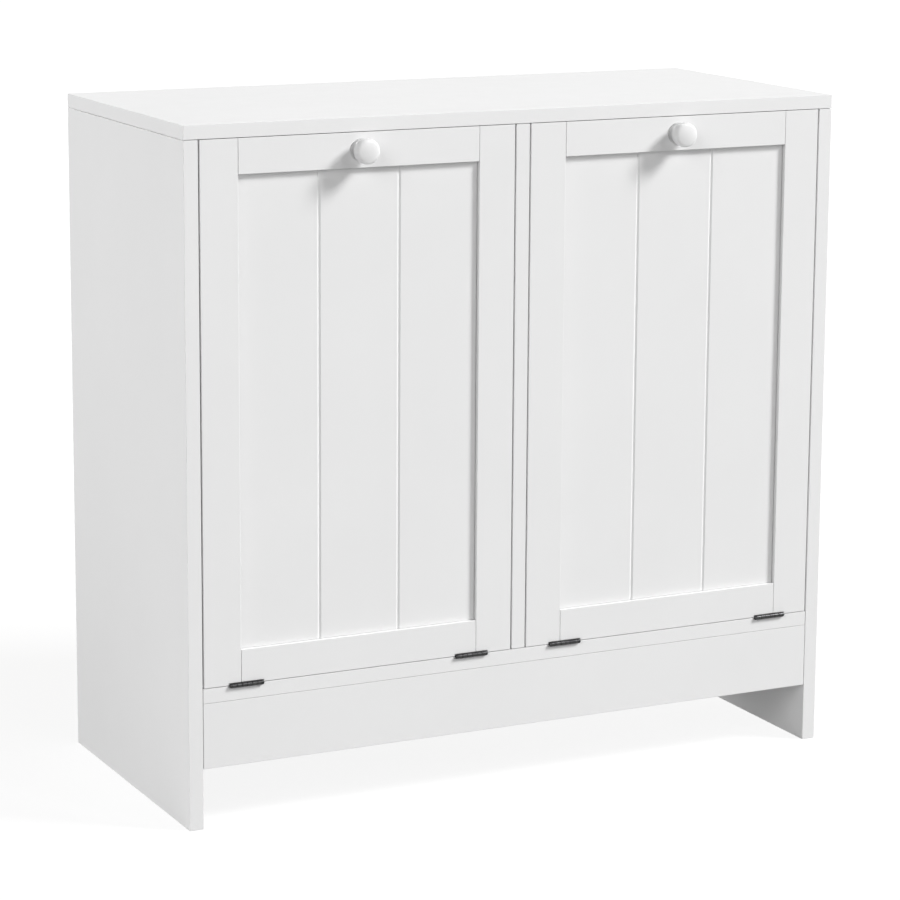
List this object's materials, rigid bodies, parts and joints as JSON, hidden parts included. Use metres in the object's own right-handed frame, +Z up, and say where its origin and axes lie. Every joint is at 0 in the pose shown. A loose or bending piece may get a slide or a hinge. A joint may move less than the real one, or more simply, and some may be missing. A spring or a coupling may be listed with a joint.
{
  "type": "laundry hamper cabinet",
  "caption": "Free-standing white laundry cabinet with side-by-side shaker doors that tilt out on bottom hinges, each carrying a wire-framed fabric laundry bag.",
  "frame": {"origin": "on the floor, in the middle of the overall width and of the overall depth with the knobs", "axes": "+X to the right as seen from the front, the doors face -Y, +Z up"},
  "size_m": [0.832, 0.394, 0.8],
  "materials": {
    "white_board": "satin white paint on fibreboard",
    "hardboard": "thin hardboard, raw behind and white-faced inside",
    "dowel_wood": "bare beech",
    "zinc_steel": "zinc plated",
    "knob_lacquer": "gloss white lacquer",
    "hinge_metal": "polished black nickel plate",
    "catch_plastic": "moulded",
    "magnet": "ground",
    "white_wire": "white powder coat",
    "canvas": "natural cotton canvas"
  },
  "bodies": {
    "cabinet": {"top_panel": "white_board", "left_side_panel": "white_board", "right_side_panel": "white_board", "centre_divider": "white_board", "bottom_panel": "white_board", "front_apron": "white_board", "back_panel": "hardboard", "dowels": "dowel_wood", "cam_bolts": "zinc_steel", "cam_locks": "zinc_steel", "carcass_screws": "zinc_steel", "stay_studs": "zinc_steel", "left_door_left_hinge_frame_leaf": "hinge_metal", "left_door_left_hinge_pin": "hinge_metal", "left_door_right_hinge_frame_leaf": "hinge_metal", "left_door_right_hinge_pin": "hinge_metal", "left_door_catch": "catch_plastic", "left_door_catch_magnet": "magnet", "right_door_left_hinge_frame_leaf": "hinge_metal", "right_door_left_hinge_pin": "hinge_metal", "right_door_right_hinge_frame_leaf": "hinge_metal", "right_door_right_hinge_pin": "hinge_metal", "right_door_catch": "catch_plastic", "right_door_catch_magnet": "magnet"},
    "left_door": {"left_door_left_stile": "white_board", "left_door_right_stile": "white_board", "left_door_top_rail": "white_board", "left_door_bottom_rail": "white_board", "left_door_panel": "white_board", "left_door_knob": "knob_lacquer", "left_door_knob_screw": "zinc_steel", "left_door_screws": "zinc_steel", "left_door_stay_brackets": "zinc_steel", "left_door_bag_frame_clips": "zinc_steel", "left_door_catch_strike_plate": "zinc_steel", "left_door_bag_frame": "white_wire", "left_door_laundry_bag": "canvas", "left_door_left_hinge_door_leaf": "hinge_metal", "left_door_right_hinge_door_leaf": "hinge_metal"},
    "left_door_left_stay": {"left_door_left_stay_arm": "zinc_steel"},
    "left_door_right_stay": {"left_door_right_stay_arm": "zinc_steel"},
    "right_door": {"right_door_left_stile": "white_board", "right_door_right_stile": "white_board", "right_door_top_rail": "white_board", "right_door_bottom_rail": "white_board", "right_door_panel": "white_board", "right_door_knob": "knob_lacquer", "right_door_knob_screw": "zinc_steel", "right_door_screws": "zinc_steel", "right_door_stay_brackets": "zinc_steel", "right_door_bag_frame_clips": "zinc_steel", "right_door_catch_strike_plate": "zinc_steel", "right_door_bag_frame": "white_wire", "right_door_laundry_bag": "canvas", "right_door_left_hinge_door_leaf": "hinge_metal", "right_door_right_hinge_door_leaf": "hinge_metal"},
    "right_door_left_stay": {"right_door_left_stay_arm": "zinc_steel"},
    "right_door_right_stay": {"right_door_right_stay_arm": "zinc_steel"}
  },
  "joints": [
    {"name": "left_door_tilt", "type": "hinge", "parent": "cabinet", "child": "left_door", "pos_m": [-0.20375, -0.174, 0.1644], "axis": [1, 0, 0], "range_deg": [0, 35]},
    {"name": "left_door_left_stay_turn", "type": "hinge", "parent": "left_door", "child": "left_door_left_stay", "pos_m": [-0.38525, -0.14353, 0.41254], "axis": [1, 0, 0], "range_deg": [-17.5, 0]},
    {"name": "left_door_right_stay_turn", "type": "hinge", "parent": "left_door", "child": "left_door_right_stay", "pos_m": [-0.02225, -0.14353, 0.41254], "axis": [1, 0, 0], "range_deg": [-17.5, 0]},
    {"name": "right_door_tilt", "type": "hinge", "parent": "cabinet", "child": "right_door", "pos_m": [0.20375, -0.174, 0.1644], "axis": [1, 0, 0], "range_deg": [0, 35]},
    {"name": "right_door_left_stay_turn", "type": "hinge", "parent": "right_door", "child": "right_door_left_stay", "pos_m": [0.02225, -0.14353, 0.41254], "axis": [1, 0, 0], "range_deg": [-17.5, 0]},
    {"name": "right_door_right_stay_turn", "type": "hinge", "parent": "right_door", "child": "right_door_right_stay", "pos_m": [0.38525, -0.14353, 0.41254], "axis": [1, 0, 0], "range_deg": [-17.5, 0]}
  ],
  "couplings": [
    {"joint": "left_door_left_stay_turn", "follows": "left_door_tilt", "ratio": -0.5},
    {"joint": "left_door_right_stay_turn", "follows": "left_door_tilt", "ratio": -0.5},
    {"joint": "right_door_left_stay_turn", "follows": "right_door_tilt", "ratio": -0.5},
    {"joint": "right_door_right_stay_turn", "follows": "right_door_tilt", "ratio": -0.5}
  ]
}
